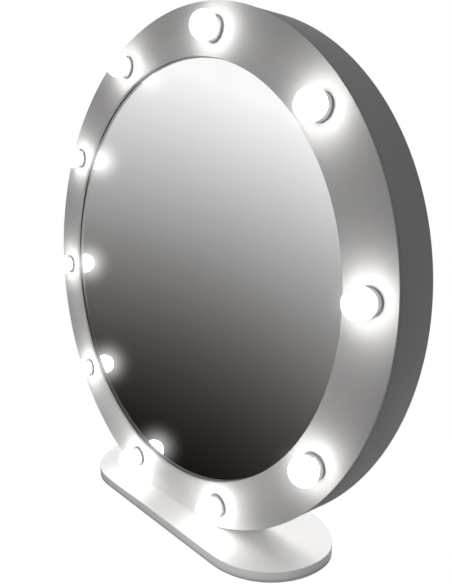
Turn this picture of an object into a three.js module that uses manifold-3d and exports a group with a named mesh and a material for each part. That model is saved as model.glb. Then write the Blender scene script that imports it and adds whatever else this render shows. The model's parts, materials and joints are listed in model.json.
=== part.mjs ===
// A round lighted vanity mirror: a shallow white drum with ten globe bulbs around a round mirror,
// cut flat at the bottom and bolted to a base plate with round ends.
// Millimetres, +Z up. The origin is on the base plate's underside, halfway between the centres of its
// round ends, and the mirror faces -Y.
import * as THREE from "three";
import { mergeVertices } from "three/addons/utils/BufferGeometryUtils.js";
import Module from "manifold-3d";

const wasm = await Module();
wasm.setup();

// ---------- Driving dimensions ----------
const FRAME_RADIUS = 450; // outside of the drum at the front
const REAR_RADIUS = 455; // the drum flares a little towards its rear edge
const FRAME_DEPTH = 73; // from the front ring's face to the drum's rear edge
const FLAT_DROP = 436.5; // the drum is cut flat this far below its centre
const OPENING_RADIUS = 371; // the front ring's opening, which frames the mirror
const BOARD_THICKNESS = 5; // front ring
const BAND_WALL = 15; // wooden hoop behind the front ring
const GROOVE_WIDTH = 2; // shadow groove between the front ring and the hoop
const GROOVE_DEPTH = 2.5;
const GAP = 0.3; // between pieces that lie against each other
const CLEARANCE = 0.4; // around screws, bolts and sleeves
const OVER = 1; // how far a cutting tool stands out of the piece it cuts

const BASE_LENGTH = 594;
const BASE_FRONT = 127.5; // its front edge, and the radius of the front quarters of its ends
const BASE_REAR = 92; // its rear edge; the rear quarters of its ends are flatter
const BASE_THICKNESS = 18;
const BASE_END_RADIUS = BASE_FRONT - 0.5;
const FRONT_FACE_Y = -75.6; // the front ring's face, forward of the line between those ends' centres
const FRAME_CENTRE_Z = BASE_THICKNESS + GAP + FLAT_DROP;

const LAMP_COUNT = 10;
const LAMP_RING_RADIUS = 410.5; // the bulbs stand on this circle, one at three o'clock
const GLOBE_RADIUS = 21.5;
const GLOBE_LIFT = 22.8; // globe centre in front of the front ring's face
const NECK_RADIUS = 10; // where the globe meets its cap
const COLLAR_RADIUS = 19.4;
const COLLAR_HEIGHT = 4.5;
const COLLAR_LIP = 1; // thickness of the collar's rim over the lampholder's sleeve
const HOLDER_RADIUS = 14; // sleeve of the small screw lampholder
const HOLDER_WALL = 1.4;
const HOLDER_DEPTH = 40; // lampholder behind the front ring's face
const HOLDER_FLOOR = 7; // thickness of the lampholder's closed end
const CAP_RADIUS = 6.9; // screw cap of the bulb

const GASKET_THICKNESS = 1.2;
const GLASS_RADIUS = 381;
const GLASS_THICKNESS = 4;
const BACKING_RADIUS = 384;
const BACKING_THICKNESS = 6;
const PANEL_THICKNESS = 4;
const REBATE_WALL = 6; // what the rear rebate leaves of the hoop's wall
const REBATE_DEPTH = 6.5;

const BOLT_SPACING = 140; // between the two bolts that hold the drum to the base plate
const BOLT_RADIUS = 3;
const BLOCK = { length: 200, depth: 50, height: 28 }; // wooden block inside the drum's flat bottom
const BOLT_STOP = 6; // from a bolt's end to the block's top
const BOLT_HOLE_STOP = 4; // from the end of a bolt's hole to the block's top
const PAN_HEAD = { radius: 3.8, height: 1.8 };
const SCREW_RADIUS = 1.7;
const SCREW_LENGTH = 20;
const SCREW_HOLE_DEPTH = 18;
const FITTING_DROP = 345; // switch and mains inlet below the drum's centre
const FITTING_X = 70; // switch to the right and mains inlet to the left, seen from the front
const ROCKER_TILT = THREE.MathUtils.degToRad(12); // each way from level

// Rows from front to back inside the drum: z = 0 is the front ring's face and z grows forwards.
const GASKET_FRONT = -BOARD_THICKNESS - GAP;
const GLASS_FRONT = GASKET_FRONT - GASKET_THICKNESS - GAP;
const BACKING_FRONT = GLASS_FRONT - GLASS_THICKNESS - GAP;
const BACKING_REAR = BACKING_FRONT - BACKING_THICKNESS;
const PANEL_FRONT = -FRAME_DEPTH + REBATE_DEPTH - GAP;
const PANEL_REAR = PANEL_FRONT - PANEL_THICKNESS;
const FRAME_MIDDLE = -FRAME_DEPTH / 2;

// Faces around round pieces
const LARGE_ROUND = 84;
const SMALL_ROUND = 14;
const SCREW_ROUND = 10;
const CABLE_ROUND = 6;
const BASE_END_STEPS = 14; // along a quarter of a round end
const GLOBE_STEPS = 7; // from the neck to the front
const LOOP_STEPS = 44; // along the lamp wiring
const LEAD_STEPS = 24; // along the supply lead

// ---------- Materials ----------
const finish = (color, roughness, metalness = 0, extra = {}) =>
  new THREE.MeshStandardMaterial({ color, roughness, metalness, ...extra });
const whitePaint = finish(0xeceae8, 0.45);
const whitePlastic = finish(0xf1efec, 0.35);
const greyPlastic = finish(0x959595, 0.4);
const opalBulb = finish(0xfffaf2, 0.3, 0, { emissive: 0xfff4e4 });
const silvering = finish(0xdfe3e4, 0.03, 1);
const blackRubber = finish(0x151515, 0.85);
const bareWood = finish(0xb99a6f, 0.8);
const hardboard = finish(0xd9d7d3, 0.7);
const zincSteel = finish(0xb4b7b9, 0.4, 1);
const blackPlastic = finish(0x1c1c1d, 0.5);
const whiteCable = finish(0xe4e2de, 0.55);

// ---------- Geometry helpers ----------
/** Points on an arc from one angle to another, both ends included. */
function arc(radius, from, to, steps, x = 0, y = 0) {
  return Array.from({ length: steps + 1 }, (_, i) => {
    const angle = from + ((to - from) * i) / steps;
    return new THREE.Vector2(x + radius * Math.cos(angle), y + radius * Math.sin(angle));
  });
}

/** A full circle without its repeated last point. */
function circle(radius, steps, x = 0, y = 0) {
  return arc(radius, 0, 2 * Math.PI, steps, x, y).slice(0, -1);
}

/** A rectangle with round corners around a centre. */
function roundedRectangle(width, height, corner, x = 0, y = 0, steps = 3) {
  const quarter = Math.PI / 2;
  const right = x + width / 2 - corner;
  const left = x - width / 2 + corner;
  const top = y + height / 2 - corner;
  const bottom = y - height / 2 + corner;
  return [
    ...arc(corner, -quarter, 0, steps, right, bottom),
    ...arc(corner, 0, quarter, steps, right, top),
    ...arc(corner, quarter, 2 * quarter, steps, left, top),
    ...arc(corner, 2 * quarter, 3 * quarter, steps, left, bottom),
  ];
}

/** The drum's outline, inset from its outside: a circle with a flat chord at the bottom. */
function drumOutline(inset, outside = FRAME_RADIUS) {
  const radius = outside - inset;
  const halfChord = Math.acos((FLAT_DROP - inset) / radius);
  return arc(radius, -Math.PI / 2 + halfChord, (3 * Math.PI) / 2 - halfChord, LARGE_ROUND);
}

/** A flat plate from an outline and its holes, between two depths. */
function plate(outline, holes, rear, front) {
  const shape = new THREE.Shape(outline);
  shape.holes = holes.map((hole) => new THREE.Path(hole));
  const geometry = new THREE.ExtrudeGeometry(shape, { depth: front - rear, bevelEnabled: false });
  return geometry.translate(0, 0, rear);
}

/** A piece turned about the z axis from [radius, z] points, listed with the solid on their left. */
function turned(profile, steps = SMALL_ROUND) {
  const points = profile.map(([radius, z]) => new THREE.Vector2(radius, z));
  return new THREE.LatheGeometry(points, steps).rotateX(Math.PI / 2);
}

/** A round bar along z. */
const bar = (radius, rear, front, steps = SCREW_ROUND) =>
  turned([[0, rear], [radius, rear], [radius, front], [0, front]], steps);

/** A box between two corners. */
function block(low, high) {
  const size = high.map((value, i) => value - low[i]);
  const middle = high.map((value, i) => (value + low[i]) / 2);
  return new THREE.BoxGeometry(...size).translate(...middle);
}

/** The closed solid of a geometry. */
function solidOf(geometry) {
  const bare = geometry.clone();
  bare.deleteAttribute("normal");
  bare.deleteAttribute("uv");
  const merged = mergeVertices(bare, 1e-3);
  const vertProperties = merged.attributes.position.array;
  const triVerts = new Uint32Array(merged.index.array);
  return new wasm.Manifold(new wasm.Mesh({ numProp: 3, vertProperties, triVerts }));
}

/** The geometry of a solid. */
function geometryOf(solid) {
  const { vertProperties, triVerts } = solid.getMesh();
  return new THREE.BufferGeometry()
    .setAttribute("position", new THREE.BufferAttribute(vertProperties, 3))
    .setIndex(new THREE.BufferAttribute(triVerts, 1));
}

const cut = (geometry, tools) =>
  geometryOf(tools.reduce((solid, tool) => solid.subtract(solidOf(tool)), solidOf(geometry)));
const join = (geometries) =>
  geometryOf(geometries.map(solidOf).reduce((solid, other) => solid.add(other)));

/** Adds a named piece to a group. */
function add(group, name, geometry, material) {
  const mesh = new THREE.Mesh(geometry, material);
  mesh.name = name;
  group.add(mesh);
  return mesh;
}

/** A group placed at a point of the lamp circle or any other circle around the drum's axis. */
function placeAround(radius, angle) {
  const group = new THREE.Group();
  group.position.set(radius * Math.cos(angle), radius * Math.sin(angle), 0);
  group.rotation.z = angle;
  return group;
}

const number = (index) => String(index + 1).padStart(2, "0");
const lampAngle = (index) => (index * 2 * Math.PI) / LAMP_COUNT;

// ---------- Base ----------
const BOLT_PLACES = [
  ["left", -BOLT_SPACING / 2],
  ["right", BOLT_SPACING / 2],
];
const BOLT_Y = FRONT_FACE_Y - FRAME_MIDDLE;
const BOLT_HEAD = { recess: 0.6, radius: 6.2, rim: 0.5, cone: 3.4, socket: 2.3, socketDepth: 2.6 };
const BOLT_TOP = FRAME_CENTRE_Z - FLAT_DROP + BAND_WALL + BLOCK.height - BOLT_STOP;

/** The plate on the table: straight long sides, round ends flatter at the rear, countersunk from below. */
function basePlate() {
  const even = roundedRectangle(BASE_LENGTH, 2 * BASE_FRONT, BASE_END_RADIUS, 0, 0, BASE_END_STEPS);
  const outline = even.map(({ x, y }) => new THREE.Vector2(x, y > 0 ? (y * BASE_REAR) / BASE_FRONT : y));
  const hole = BOLT_RADIUS + CLEARANCE;
  const sink = BOLT_HEAD.radius + CLEARANCE;
  const coneFoot = BOLT_HEAD.recess + BOLT_HEAD.rim;
  const profile = [
    [0, -OVER],
    [sink, -OVER],
    [sink, coneFoot + GAP],
    [hole, coneFoot + BOLT_HEAD.cone + GAP],
    [hole, BASE_THICKNESS + OVER],
    [0, BASE_THICKNESS + OVER],
  ];
  const sinks = BOLT_PLACES.map(([, x]) => turned(profile).translate(x, BOLT_Y, 0));
  return cut(plate(outline, [], 0, BASE_THICKNESS), sinks);
}

/** Countersunk bolt with a hexagon socket in its head, standing head down. */
function baseBolt() {
  const { recess, radius, rim, cone, socket, socketDepth } = BOLT_HEAD;
  const body = turned([
    [0, recess],
    [radius, recess],
    [radius, recess + rim],
    [BOLT_RADIUS, recess + rim + cone],
    [BOLT_RADIUS, BOLT_TOP - 1],
    [BOLT_RADIUS - 1, BOLT_TOP],
    [0, BOLT_TOP],
  ]);
  return cut(body, [bar(socket, recess - OVER, recess + socketDepth, 6)]);
}

/** Holes for the two base bolts, upright through the drum's flat bottom, in the drum's own frame. */
function boltHoles(bottom, top) {
  return BOLT_PLACES.map(([, x]) =>
    bar(BOLT_RADIUS + CLEARANCE, bottom, top, SMALL_ROUND)
      .rotateX(-Math.PI / 2)
      .translate(x, 0, FRAME_MIDDLE),
  );
}

/** Block behind the drum's flat bottom that the base bolts screw into. */
function footBlock() {
  const bottom = -FLAT_DROP + BAND_WALL + GAP;
  const top = bottom + BLOCK.height;
  const rear = FRAME_MIDDLE - BLOCK.depth / 2;
  const body = block([-BLOCK.length / 2, bottom, rear], [BLOCK.length / 2, top, rear + BLOCK.depth]);
  return cut(body, boltHoles(bottom - OVER, top - BOLT_HOLE_STOP));
}

// ---------- Drum ----------
/** Where the rear panel's screws go: around the hoop, and one in the middle of the flat. */
function panelScrewPlaces() {
  const radius = (FRAME_RADIUS - BAND_WALL + REAR_RADIUS - REBATE_WALL) / 2;
  const around = [30, 90, 150, 210, 330].map((degrees) => {
    const angle = THREE.MathUtils.degToRad(degrees);
    return [radius * Math.cos(angle), radius * Math.sin(angle)];
  });
  return [...around, [0, -FLAT_DROP + (BAND_WALL + REBATE_WALL) / 2]];
}

/** Where the mirror clips go: halfway between bulbs, two above and two below. */
const CLIP_ANGLES = [54, 126, 234, 306].map(THREE.MathUtils.degToRad);
const CLIP = { thickness: 2, width: 18, inner: 372, riser: BACKING_RADIUS + 1.2, outer: 403 };
const CLIP_SCREW_RADIUS = 1.4;
const CLIP_SCREW_PLACE = (CLIP.riser + CLIP.thickness + CLIP.outer) / 2;
const CLIP_SCREW_TIP = -1.4;

/** The front ring: a flat board with the mirror's opening, ten lamp holes and four blind screw holes. */
function frontRing() {
  const lampHoles = Array.from({ length: LAMP_COUNT }, (_, i) => {
    const angle = lampAngle(i);
    const x = LAMP_RING_RADIUS * Math.cos(angle);
    const y = LAMP_RING_RADIUS * Math.sin(angle);
    return circle(HOLDER_RADIUS + CLEARANCE, SMALL_ROUND, x, y);
  });
  const holes = [circle(OPENING_RADIUS, LARGE_ROUND), ...lampHoles];
  const board = plate(drumOutline(0), holes, -BOARD_THICKNESS, 0);
  const screwHoles = CLIP_ANGLES.map((angle) =>
    bar(CLIP_SCREW_RADIUS + GAP, -BOARD_THICKNESS - OVER, CLIP_SCREW_TIP + GAP)
      .translate(CLIP_SCREW_PLACE, 0, 0)
      .rotateZ(angle),
  );
  return cut(board, screwHoles);
}

/**
 * The hoop behind the front ring. It flares towards the rear and is cut flat underneath, with the
 * shadow groove in front and a rebate for the rear panel.
 */
function sideBand() {
  const front = -BOARD_THICKNESS - GAP;
  const shoulder = -BOARD_THICKNESS - GROOVE_WIDTH;
  const neck = plate(drumOutline(GROOVE_DEPTH), [], shoulder - OVER, front);
  const flare = turned(
    [
      [0, -FRAME_DEPTH],
      [REAR_RADIUS, -FRAME_DEPTH],
      [FRAME_RADIUS, shoulder],
      [0, shoulder],
    ],
    LARGE_ROUND,
  );
  const below = block(
    [-REAR_RADIUS, -REAR_RADIUS - OVER, -FRAME_DEPTH - OVER],
    [REAR_RADIUS, -FLAT_DROP, shoulder + OVER],
  );
  const inside = plate(drumOutline(BAND_WALL), [], -FRAME_DEPTH - OVER, front + OVER);
  const rebateFloor = -FRAME_DEPTH + REBATE_DEPTH;
  const rebate = plate(drumOutline(REBATE_WALL, REAR_RADIUS), [], -FRAME_DEPTH - OVER, rebateFloor);
  const screwHoles = panelScrewPlaces().map(([x, y]) =>
    bar(SCREW_RADIUS + CLEARANCE, PANEL_FRONT - OVER, PANEL_FRONT + SCREW_HOLE_DEPTH).translate(x, y, 0),
  );
  const bolts = boltHoles(-FLAT_DROP - OVER, -FLAT_DROP + BAND_WALL + OVER);
  return cut(join([neck, cut(flare, [below])]), [inside, rebate, ...screwHoles, ...bolts]);
}

/** The rear panel, set into the hoop's rebate, with openings for the switch and the mains inlet. */
function rearPanel() {
  const screwHoles = panelScrewPlaces().map(([x, y]) =>
    circle(SCREW_RADIUS + CLEARANCE, SCREW_ROUND, x, y),
  );
  const fittings = [
    roundedRectangle(SWITCH.width + 1, SWITCH.height + 1, 0.5, FITTING_X, -FITTING_DROP, 1),
    roundedRectangle(INLET.width + 1, INLET.height + 1, 1, -FITTING_X, -FITTING_DROP, 1),
  ];
  const outline = drumOutline(REBATE_WALL + GAP, REAR_RADIUS);
  return plate(outline, [...screwHoles, ...fittings], PANEL_REAR, PANEL_FRONT);
}

/** Pan-head screw pointing forwards, its head resting behind a face at z = 0. */
function panScrew(shank, head, headHeight, length) {
  const dome = headHeight / 3;
  return turned(
    [
      [0, -GAP - headHeight],
      [head - 1, -GAP - headHeight],
      [head, -GAP - headHeight + dome],
      [head, -GAP],
      [shank, -GAP],
      [shank, length - 1],
      [0, length],
    ],
    SCREW_ROUND,
  );
}

// ---------- Mirror ----------
const disc = (radius, rear, front) => plate(circle(radius, LARGE_ROUND), [], rear, front);

/** Z-shaped clip: its foot lies on the front ring's back and its lip holds the backing board. */
function mirrorClip() {
  const { thickness, width, inner, riser, outer } = CLIP;
  const foot = -BOARD_THICKNESS - GAP;
  const lip = BACKING_REAR - GAP;
  const points = [
    [riser, foot],
    [riser, lip],
    [inner, lip],
    [inner, lip - thickness],
    [riser + thickness, lip - thickness],
    [riser + thickness, foot - thickness],
    [outer, foot - thickness],
    [outer, foot],
  ].map(([radius, z]) => new THREE.Vector2(radius, z));
  const strip = plate(points, [], -width / 2, width / 2).rotateX(Math.PI / 2);
  const hole = bar(CLIP_SCREW_RADIUS + GAP, foot - thickness - OVER, foot + OVER);
  return cut(strip, [hole.translate(CLIP_SCREW_PLACE, 0, 0)]);
}

// ---------- Lamps ----------
/** Lampholder cup with its sleeve through the front ring and a flange behind it. */
function lampholder() {
  const flange = { front: -BOARD_THICKNESS - GAP, thickness: 3, radius: HOLDER_RADIUS + 4 };
  const flangeRear = flange.front - flange.thickness;
  const tip = COLLAR_HEIGHT - COLLAR_LIP - 0.5;
  const mouth = { radius: HOLDER_RADIUS - HOLDER_WALL, rear: -9 };
  const threadRadius = CAP_RADIUS + CLEARANCE;
  const floor = -HOLDER_DEPTH + HOLDER_FLOOR;
  return turned([
    [0, -HOLDER_DEPTH],
    [HOLDER_RADIUS, -HOLDER_DEPTH],
    [HOLDER_RADIUS, flangeRear],
    [flange.radius, flangeRear],
    [flange.radius, flange.front],
    [HOLDER_RADIUS, flange.front],
    [HOLDER_RADIUS, tip],
    [mouth.radius, tip],
    [mouth.radius, mouth.rear],
    [threadRadius, mouth.rear - 2],
    [threadRadius, floor],
    [0, floor],
  ]);
}

/** Threaded collar in front of the front ring that clamps the lampholder. */
function lampCollar() {
  const sleeve = HOLDER_RADIUS + CLEARANCE;
  const opening = HOLDER_RADIUS - 1;
  const chamfer = 0.8;
  return turned([
    [sleeve, GAP],
    [COLLAR_RADIUS, GAP],
    [COLLAR_RADIUS, COLLAR_HEIGHT - chamfer],
    [COLLAR_RADIUS - chamfer, COLLAR_HEIGHT],
    [opening, COLLAR_HEIGHT],
    [opening, COLLAR_HEIGHT - COLLAR_LIP],
    [sleeve, COLLAR_HEIGHT - COLLAR_LIP],
    [sleeve, GAP],
  ]);
}

/** Globe bulb: opal globe, neck, and a screw cap with its end contact. */
function bulb() {
  const contact = { radius: 3, rear: -32, front: -30 };
  const cap = { rear: -28, front: -10 };
  const shoulder = { radius: NECK_RADIUS - 0.5, depth: -7 };
  const start = -Math.PI / 2 + Math.asin(NECK_RADIUS / GLOBE_RADIUS);
  const globe = arc(GLOBE_RADIUS, start, Math.PI / 2, GLOBE_STEPS, 0, GLOBE_LIFT);
  const front = globe.slice(0, -1).map(({ x, y }) => [x, y]);
  return turned([
    [0, contact.rear],
    [contact.radius, contact.rear],
    [contact.radius, contact.front],
    [CAP_RADIUS, cap.rear],
    [CAP_RADIUS, cap.front],
    [shoulder.radius, shoulder.depth],
    ...front,
    [0, GLOBE_LIFT + GLOBE_RADIUS],
  ]);
}

// ---------- Electrics ----------
const SWITCH = { width: 12.6, height: 18.6, depth: 16, bezelWidth: 15, bezelHeight: 21 };
const INLET = { width: 24, height: 15.4, depth: 21, flangeWidth: 38, flangeHeight: 18 };
const BEZEL = 1.8; // thickness of the switch's bezel and the inlet's flange
const BEZEL_FRONT = PANEL_REAR - GAP;
const BEZEL_REAR = BEZEL_FRONT - BEZEL;
const BLADE = { halfWidth: 2.4, halfThickness: 0.4, length: 7, offset: 5 }; // switch terminals
const ROCKER = { halfWidth: 5.1, reach: 8, opening: 8.4, pivotDepth: 2.5, axle: 1, valley: 2.8, keel: 6.5 };
const ROCKER_SIDE = { from: 38, to: -20, steps: 5 }; // the rocker's round ends, in degrees
const PIN = { spacing: 4.3, radius: 1.2, wellRadius: 4.4, wellDepth: 13, recess: 2 };
const ROCKER_PIVOT = BEZEL_REAR + ROCKER.pivotDepth;

/** A bar along x, for the rocker's axle and its pockets. */
const axle = (radius, halfLength) =>
  bar(radius, -halfLength, halfLength, SMALL_ROUND).rotateY(Math.PI / 2);

/** Snap-in switch housing with an open well for the rocker and two blade terminals. */
function switchHousing() {
  const { width, height, depth, bezelWidth, bezelHeight } = SWITCH;
  const front = BEZEL_FRONT + depth;
  const well = ROCKER.halfWidth + CLEARANCE;
  const wellFloor = ROCKER_PIVOT + ROCKER.keel + 1.5;
  const blade = (y) =>
    block(
      [-BLADE.halfWidth, y - BLADE.halfThickness, front - OVER],
      [BLADE.halfWidth, y + BLADE.halfThickness, front + BLADE.length],
    );
  const body = join([
    plate(roundedRectangle(bezelWidth, bezelHeight, 1.5), [], BEZEL_REAR, BEZEL_FRONT),
    block([-width / 2, -height / 2, BEZEL_FRONT - OVER], [width / 2, height / 2, front]),
    blade(-BLADE.offset),
    blade(BLADE.offset),
  ]);
  return cut(body, [
    block([-well, -ROCKER.opening, BEZEL_REAR - OVER], [well, ROCKER.opening, wellFloor]),
    axle(ROCKER.axle + CLEARANCE, ROCKER.halfWidth + 1).translate(0, 0, ROCKER_PIVOT),
  ]);
}

/** Rocker around its axle: a shallow V face behind, round ends, and a keel inside the housing. */
function switchRocker() {
  const { halfWidth, reach, valley, keel } = ROCKER;
  const [from, to] = [ROCKER_SIDE.from, ROCKER_SIDE.to].map(THREE.MathUtils.degToRad);
  const side = arc(reach, from, to, ROCKER_SIDE.steps);
  const otherSide = side.map(({ x, y }) => new THREE.Vector2(-x, y)).reverse();
  const section = [new THREE.Vector2(0, valley), ...side, new THREE.Vector2(0, -keel), ...otherSide];
  // The section's x runs up the drum and its y runs out of the rear panel.
  const body = plate(section, [], -halfWidth, halfWidth).applyMatrix4(
    new THREE.Matrix4().makeBasis(
      new THREE.Vector3(0, 1, 0),
      new THREE.Vector3(0, 0, -1),
      new THREE.Vector3(-1, 0, 0),
    ),
  );
  return join([body, axle(ROCKER.axle, halfWidth + 0.7)]);
}

/** Two-pin mains inlet: a flange, a body, and a figure-of-eight well that holds the pins. */
function powerInlet() {
  const { width, height, depth, flangeWidth, flangeHeight } = INLET;
  const sides = [-PIN.spacing, PIN.spacing];
  const front = BEZEL_FRONT + depth;
  const wellFloor = BEZEL_REAR + PIN.wellDepth;
  const flange = roundedRectangle(flangeWidth, flangeHeight, flangeHeight / 2 - 0.5, 0, 0, 6);
  const body = join([
    plate(flange, [], BEZEL_REAR, BEZEL_FRONT),
    block([-width / 2, -height / 2, BEZEL_FRONT - OVER], [width / 2, height / 2, front]),
  ]);
  const well = bar(PIN.wellRadius, BEZEL_REAR - OVER, wellFloor, SMALL_ROUND);
  const pin = bar(PIN.radius, BEZEL_REAR + PIN.recess, wellFloor + OVER);
  const wells = sides.map((x) => well.clone().translate(x, 0, 0));
  const pins = sides.map((x) => pin.clone().translate(x, 0, 0));
  return join([cut(body, wells), ...pins]);
}

const TERMINAL_BOX = { length: 64, height: 30, depth: 28, rise: 2 };
const CABLE_RADIUS = 3;
const CABLE_DEPTH = -HOLDER_DEPTH - CABLE_RADIUS - 1;
const BLOCK_TOP = -FLAT_DROP + BAND_WALL + GAP + BLOCK.height;

/** Box on the foot block where the supply and the lamp wiring meet. */
function terminalBox() {
  const { length, height, depth } = TERMINAL_BOX;
  const outline = roundedRectangle(length, height, 3, 0, BLOCK_TOP + GAP + height / 2);
  return plate(outline, [], CABLE_DEPTH - depth / 2, CABLE_DEPTH + depth / 2);
}

/** A round cable through a row of points. */
function cable(points, steps) {
  const section = new THREE.Shape(circle(CABLE_RADIUS, CABLE_ROUND));
  const extrudePath = new THREE.CatmullRomCurve3(points);
  return new THREE.ExtrudeGeometry(section, { steps, extrudePath, bevelEnabled: false });
}

/** Lamp wiring: from the terminal box past the back of all ten lampholders and home again. */
function wiringLoop() {
  const from = lampAngle(-2);
  const to = lampAngle(LAMP_COUNT - 3);
  const past = arc(LAMP_RING_RADIUS, from, to, 2 * (LAMP_COUNT - 1));
  const boxSide = TERMINAL_BOX.length / 2 + GAP;
  const boxMiddle = BLOCK_TOP + GAP + TERMINAL_BOX.height / 2;
  const run = [
    new THREE.Vector2(boxSide, boxMiddle),
    new THREE.Vector2(boxSide + 30, boxMiddle - 3),
    ...past,
    new THREE.Vector2(-boxSide - 30, boxMiddle - 3),
    new THREE.Vector2(-boxSide, boxMiddle),
  ];
  return cable(run.map(({ x, y }) => new THREE.Vector3(x, y, CABLE_DEPTH)), LOOP_STEPS);
}

/** Supply lead from the mains inlet down to the top of the terminal box. */
function supplyLead() {
  const boxTop = BLOCK_TOP + GAP + TERMINAL_BOX.height + GAP;
  const inletFront = BEZEL_FRONT + INLET.depth + GAP;
  return cable(
    [
      new THREE.Vector3(-FITTING_X, -FITTING_DROP, inletFront + 1),
      new THREE.Vector3(-FITTING_X, -FITTING_DROP, inletFront + 6),
      new THREE.Vector3(-FITTING_X + 14, -FITTING_DROP + 6, inletFront + 15),
      new THREE.Vector3(-24, boxTop + 24, CABLE_DEPTH),
      new THREE.Vector3(-12, boxTop + 8, CABLE_DEPTH),
      new THREE.Vector3(-12, boxTop + 1, CABLE_DEPTH),
    ],
    LEAD_STEPS,
  );
}

// ---------- Assembly ----------
const mirror = new THREE.Group();
mirror.name = "lighted_vanity_mirror";

add(mirror, "base_plate", basePlate(), whitePaint);
for (const [side, x] of BOLT_PLACES)
  add(mirror, "base_bolt_" + side, baseBolt(), zincSteel).position.set(x, BOLT_Y, 0);

// The drum's own frame: x to the right, y up, z forwards out of the front ring's face.
const drum = new THREE.Group();
drum.position.set(0, FRONT_FACE_Y, FRAME_CENTRE_Z);
drum.rotation.x = Math.PI / 2;
mirror.add(drum);

add(drum, "foot_block", footBlock(), bareWood);
add(drum, "front_ring", frontRing(), whitePaint);
add(drum, "side_band", sideBand(), whitePaint);
add(drum, "rear_panel", rearPanel(), hardboard);
panelScrewPlaces().forEach(([x, y], i) => {
  const screw = panScrew(SCREW_RADIUS, PAN_HEAD.radius, PAN_HEAD.height, SCREW_LENGTH);
  add(drum, "panel_screw_" + number(i), screw, zincSteel).position.set(x, y, PANEL_REAR);
});

const gasket = plate(
  circle(GLASS_RADIUS - 1, LARGE_ROUND),
  [circle(OPENING_RADIUS + 1, LARGE_ROUND)],
  GASKET_FRONT - GASKET_THICKNESS,
  GASKET_FRONT,
);
add(drum, "mirror_gasket", gasket, blackRubber);
add(drum, "mirror_glass", disc(GLASS_RADIUS, GLASS_FRONT - GLASS_THICKNESS, GLASS_FRONT), silvering);
add(drum, "mirror_backing", disc(BACKING_RADIUS, BACKING_REAR, BACKING_FRONT), bareWood);
CLIP_ANGLES.forEach((angle, i) => {
  add(drum, "mirror_clip_" + number(i), mirrorClip(), zincSteel).rotation.z = angle;
  const seat = placeAround(CLIP_SCREW_PLACE, angle);
  seat.position.z = -BOARD_THICKNESS - GAP - CLIP.thickness;
  const length = CLIP_SCREW_TIP - seat.position.z;
  add(seat, "clip_screw_" + number(i), panScrew(CLIP_SCREW_RADIUS, 3, 1.8, length), zincSteel);
  drum.add(seat);
});

for (let i = 0; i < LAMP_COUNT; i++) {
  const lamp = placeAround(LAMP_RING_RADIUS, lampAngle(i));
  add(lamp, "lampholder_" + number(i), lampholder(), whitePlastic);
  add(lamp, "lamp_collar_" + number(i), lampCollar(), greyPlastic);
  add(lamp, "bulb_" + number(i), bulb(), opalBulb);
  drum.add(lamp);
}

add(drum, "terminal_box", terminalBox(), whitePlastic);
add(drum, "wiring_loop", wiringLoop(), whiteCable);
add(drum, "supply_lead", supplyLead(), whiteCable);
add(drum, "switch_housing", switchHousing(), blackPlastic).position.set(FITTING_X, -FITTING_DROP, 0);
const rocker = add(drum, "switch_rocker", switchRocker(), blackPlastic);
rocker.position.set(FITTING_X, -FITTING_DROP, ROCKER_PIVOT);
rocker.rotation.x = -ROCKER_TILT;
add(drum, "power_inlet", powerInlet(), blackPlastic).position.set(-FITTING_X, -FITTING_DROP, 0);

export default mirror;
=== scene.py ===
"""A round lighted vanity mirror: fine meshes, materials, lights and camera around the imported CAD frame."""
import json
import math

import bmesh
import bpy
from mathutils import Matrix, Vector
from mathutils.geometry import tessellate_polygon

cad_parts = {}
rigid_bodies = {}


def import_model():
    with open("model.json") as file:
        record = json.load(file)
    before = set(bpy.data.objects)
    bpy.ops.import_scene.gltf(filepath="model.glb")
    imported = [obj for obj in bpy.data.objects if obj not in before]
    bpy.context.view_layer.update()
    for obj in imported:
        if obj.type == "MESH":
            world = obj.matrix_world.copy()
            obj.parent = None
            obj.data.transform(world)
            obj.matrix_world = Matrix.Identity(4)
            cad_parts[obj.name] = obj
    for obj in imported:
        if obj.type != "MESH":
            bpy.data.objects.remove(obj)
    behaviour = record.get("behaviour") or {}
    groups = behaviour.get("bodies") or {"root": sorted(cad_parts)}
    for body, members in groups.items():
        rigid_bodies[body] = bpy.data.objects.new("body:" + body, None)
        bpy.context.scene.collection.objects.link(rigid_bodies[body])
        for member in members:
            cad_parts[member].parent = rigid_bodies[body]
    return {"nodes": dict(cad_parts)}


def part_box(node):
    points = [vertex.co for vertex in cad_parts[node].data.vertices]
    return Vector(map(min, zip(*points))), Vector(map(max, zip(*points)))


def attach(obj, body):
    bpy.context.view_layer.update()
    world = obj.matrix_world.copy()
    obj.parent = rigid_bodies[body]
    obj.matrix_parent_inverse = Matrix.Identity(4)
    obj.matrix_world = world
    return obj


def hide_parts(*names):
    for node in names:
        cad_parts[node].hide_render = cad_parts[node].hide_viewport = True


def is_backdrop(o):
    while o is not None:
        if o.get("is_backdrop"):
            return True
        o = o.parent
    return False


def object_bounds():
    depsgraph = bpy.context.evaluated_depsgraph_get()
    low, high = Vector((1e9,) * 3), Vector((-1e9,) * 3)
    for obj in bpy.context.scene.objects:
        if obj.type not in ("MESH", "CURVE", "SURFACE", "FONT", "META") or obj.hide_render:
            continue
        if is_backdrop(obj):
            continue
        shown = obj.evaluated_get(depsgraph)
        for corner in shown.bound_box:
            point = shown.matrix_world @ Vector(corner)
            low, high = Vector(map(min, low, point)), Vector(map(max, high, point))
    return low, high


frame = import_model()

CAD_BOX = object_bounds()
MM = 0.001
TAU = 2 * math.pi

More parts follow.
